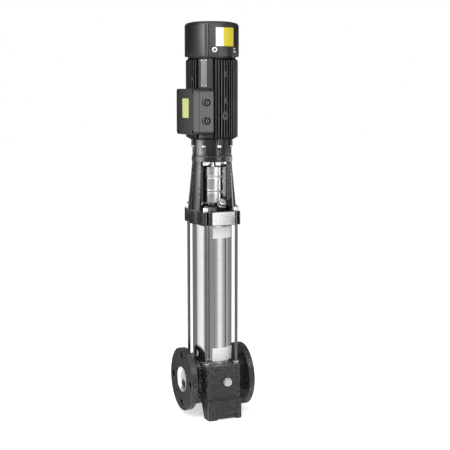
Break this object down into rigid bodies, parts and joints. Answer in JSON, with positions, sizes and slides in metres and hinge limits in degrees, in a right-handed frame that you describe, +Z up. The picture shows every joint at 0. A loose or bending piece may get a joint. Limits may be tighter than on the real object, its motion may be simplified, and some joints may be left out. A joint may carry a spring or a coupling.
{
  "type": "vertical multistage in-line pump",
  "caption": "Tall in-line pump: flanged ports on a cast base, steel sleeve held by tie rods, open motor stool with split coupling, and a finned motor with a terminal box.",
  "frame": {"origin": "on the pump's vertical axis, at the underside of its feet", "axes": "+Z up along the pump's shaft, -X out of the suction flange, -Y towards the drain plug"},
  "size_m": [0.174, 0.184, 1.0195],
  "materials": {
    "black_casting": "semi-gloss black paint on cast metal",
    "stainless": "polished stainless sheet",
    "port_steel": "bright polished steel",
    "fastener_steel": "plain steel fasteners",
    "coupling_steel": "turned and machined steel",
    "pressed_steel": "pressed stainless sheet",
    "core_iron": "stacked electrical sheet",
    "winding_copper": "varnished copper wire",
    "stud_brass": "plain brass",
    "seal_carbon": "lapped carbon",
    "rubber_seal": "moulded rubber",
    "black_plastic": "moulded black plastic",
    "board_plastic": "moulded terminal board"
  },
  "bodies": {
    "pump": {"base_casting": "black_casting", "port_liners": "port_steel", "drain_plug": "fastener_steel", "sleeve_o_rings": "rubber_seal", "outer_sleeve": "stainless", "tie_rods": "fastener_steel", "rod_nuts": "fastener_steel", "rod_washers": "fastener_steel", "suction_chamber": "pressed_steel", "stage_chamber_1": "pressed_steel", "stage_chamber_2": "pressed_steel", "stage_chamber_3": "pressed_steel", "stage_chamber_4": "pressed_steel", "stage_chamber_5": "pressed_steel", "stage_chamber_6": "pressed_steel", "top_chamber": "pressed_steel", "pump_head": "black_casting", "seal_seat": "seal_carbon", "seal_cover": "coupling_steel", "seal_screws": "fastener_steel", "vent_plug": "fastener_steel", "motor_stool": "black_casting", "drive_end_shield": "black_casting", "flange_bolts": "fastener_steel", "shield_bolts": "fastener_steel", "stator_housing": "black_casting", "stator_core": "core_iron", "stator_windings": "winding_copper", "bearing_outer_rings": "coupling_steel", "rear_end_shield": "black_casting", "fan_cowl": "black_casting", "cowl_screws": "fastener_steel", "terminal_box": "black_casting", "lid_gasket": "rubber_seal", "box_lid": "black_casting", "lid_screws": "fastener_steel", "terminal_block": "board_plastic", "terminal_studs": "stud_brass", "gland_plugs": "black_plastic"},
    "rotor": {"pump_shaft": "coupling_steel", "impeller_1": "pressed_steel", "impeller_2": "pressed_steel", "impeller_3": "pressed_steel", "impeller_4": "pressed_steel", "impeller_5": "pressed_steel", "impeller_6": "pressed_steel", "stage_spacers": "coupling_steel", "shaft_nut": "fastener_steel", "seal_rotor": "coupling_steel", "seal_spring": "fastener_steel", "coupling_front": "coupling_steel", "coupling_back": "coupling_steel", "coupling_screws": "coupling_steel", "rotor_core": "core_iron", "motor_shaft": "coupling_steel", "bearing_inner_rings": "coupling_steel", "cooling_fan": "black_plastic"},
    "ball_cages": {"bearing_balls": "coupling_steel"},
    "vent_stem": {"vent_needle": "fastener_steel"},
    "vent_cap": {"vent_head": "fastener_steel"}
  },
  "joints": [
    {"name": "rotor_spin", "type": "hinge", "parent": "pump", "child": "rotor", "pos_m": [0, 0, 0.6], "axis": [0, 0, 1], "continuous": true},
    {"name": "cage_spin", "type": "hinge", "parent": "pump", "child": "ball_cages", "pos_m": [0, 0, 0.8], "axis": [0, 0, 1], "continuous": true},
    {"name": "vent_lift", "type": "slide", "parent": "pump", "child": "vent_stem", "axis": [0.0846, -0.3978, 0.9135], "range_m": [0, 0.003]},
    {"name": "vent_turn", "type": "hinge", "parent": "vent_stem", "child": "vent_cap", "pos_m": [0.00918, -0.04317, 0.55227], "axis": [0.0846, -0.3978, 0.9135], "range_deg": [0, 720]}
  ],
  "couplings": [
    {"joint": "cage_spin", "follows": "rotor_spin", "ratio": 0.37},
    {"joint": "vent_turn", "follows": "vent_lift", "rad_per_m": 4188.8}
  ]
}
